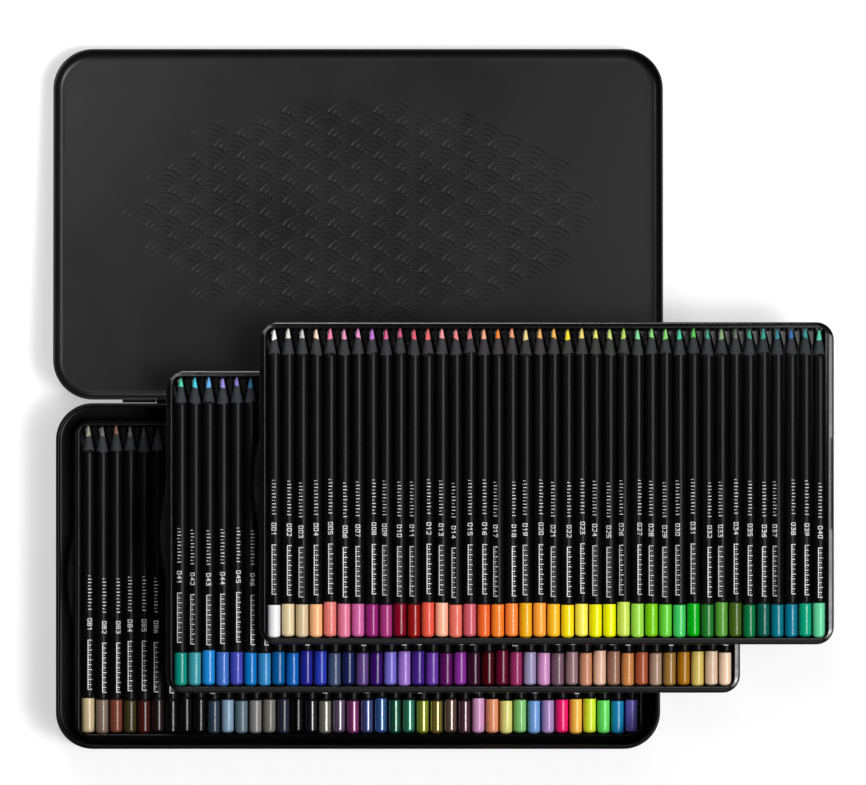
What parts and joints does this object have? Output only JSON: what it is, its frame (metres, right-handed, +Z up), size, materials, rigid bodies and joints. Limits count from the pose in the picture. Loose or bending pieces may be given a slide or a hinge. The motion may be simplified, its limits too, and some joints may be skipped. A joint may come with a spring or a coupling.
{
  "type": "colour pencil tin",
  "caption": "Flat hinged black metal tin laid open, with lift-out black plastic trays of colour pencils fanned out in steps across it.",
  "frame": {"origin": "centre of the flat underside of the tin's base", "axes": "+X along the tin's long side, to the right in the picture; +Y from the front to the hinges and the open lid; +Z up"},
  "size_m": [0.4434, 0.3981, 0.0506],
  "materials": {
    "tin_metal": "satin",
    "hinge_wire": "satin",
    "tray_plastic": "gloss",
    "black_barrel": "gloss",
    "bottom_lead_01": "matte",
    "bottom_lead_02_10": "matte",
    "bottom_lead_11_20": "matte",
    "bottom_lead_21_30": "matte",
    "bottom_lead_31_40": "matte",
    "middle_lead_01": "matte",
    "middle_lead_02_10": "matte",
    "middle_lead_11_20": "matte",
    "middle_lead_21_30": "matte",
    "middle_lead_31_40": "matte",
    "top_lead_01": "matte",
    "top_lead_02_10": "matte",
    "top_lead_11_20": "matte",
    "top_lead_21_30": "matte",
    "top_lead_31_40": "matte"
  },
  "bodies": {
    "tin": {"base_tin": "tin_metal", "hinge_pin_left": "hinge_wire", "hinge_pin_right": "hinge_wire"},
    "lid": {"lid_shell": "tin_metal"},
    "bottom_set": {"bottom_tray": "tray_plastic", "bottom_barrels_02_10": "black_barrel", "bottom_leads_02_10": "bottom_lead_02_10", "bottom_barrels_11_20": "black_barrel", "bottom_leads_11_20": "bottom_lead_11_20", "bottom_barrels_21_30": "black_barrel", "bottom_leads_21_30": "bottom_lead_21_30", "bottom_barrels_31_40": "black_barrel", "bottom_leads_31_40": "bottom_lead_31_40"},
    "bottom_first_pencil": {"bottom_barrel_01": "black_barrel", "bottom_lead_01": "bottom_lead_01"},
    "middle_set": {"middle_tray": "tray_plastic", "middle_barrels_02_10": "black_barrel", "middle_leads_02_10": "middle_lead_02_10", "middle_barrels_11_20": "black_barrel", "middle_leads_11_20": "middle_lead_11_20", "middle_barrels_21_30": "black_barrel", "middle_leads_21_30": "middle_lead_21_30", "middle_barrels_31_40": "black_barrel", "middle_leads_31_40": "middle_lead_31_40"},
    "middle_first_pencil": {"middle_barrel_01": "black_barrel", "middle_lead_01": "middle_lead_01"},
    "top_set": {"top_tray": "tray_plastic", "top_barrels_02_10": "black_barrel", "top_leads_02_10": "top_lead_02_10", "top_barrels_11_20": "black_barrel", "top_leads_11_20": "top_lead_11_20", "top_barrels_21_30": "black_barrel", "top_leads_21_30": "top_lead_21_30", "top_barrels_31_40": "black_barrel", "top_leads_31_40": "top_lead_31_40"},
    "top_first_pencil": {"top_barrel_01": "black_barrel", "top_lead_01": "top_lead_01"}
  },
  "joints": [
    {"name": "lid_hinge", "type": "hinge", "parent": "tin", "child": "lid", "pos_m": [0, 0.10015, 0.024], "axis": [1, 0, 0], "range_deg": [0, 25]},
    {"name": "bottom_tray_lift", "type": "slide", "parent": "tin", "child": "bottom_set", "axis": [0, 0, 1], "range_m": [0, 0.045]},
    {"name": "middle_tray_lift", "type": "slide", "parent": "bottom_set", "child": "middle_set", "axis": [0, 0, 1], "range_m": [0, 0.06]},
    {"name": "top_tray_lift", "type": "slide", "parent": "middle_set", "child": "top_set", "axis": [0, 0, 1], "range_m": [0, 0.06]},
    {"name": "bottom_first_pencil_lift", "type": "slide", "parent": "bottom_set", "child": "bottom_first_pencil", "axis": [0, 0, 1], "range_m": [0, 0.05]},
    {"name": "middle_first_pencil_lift", "type": "slide", "parent": "middle_set", "child": "middle_first_pencil", "axis": [0, 0, 1], "range_m": [0, 0.04]},
    {"name": "top_first_pencil_lift", "type": "slide", "parent": "top_set", "child": "top_first_pencil", "axis": [0, 0, 1], "range_m": [0, 0.04]}
  ]
}
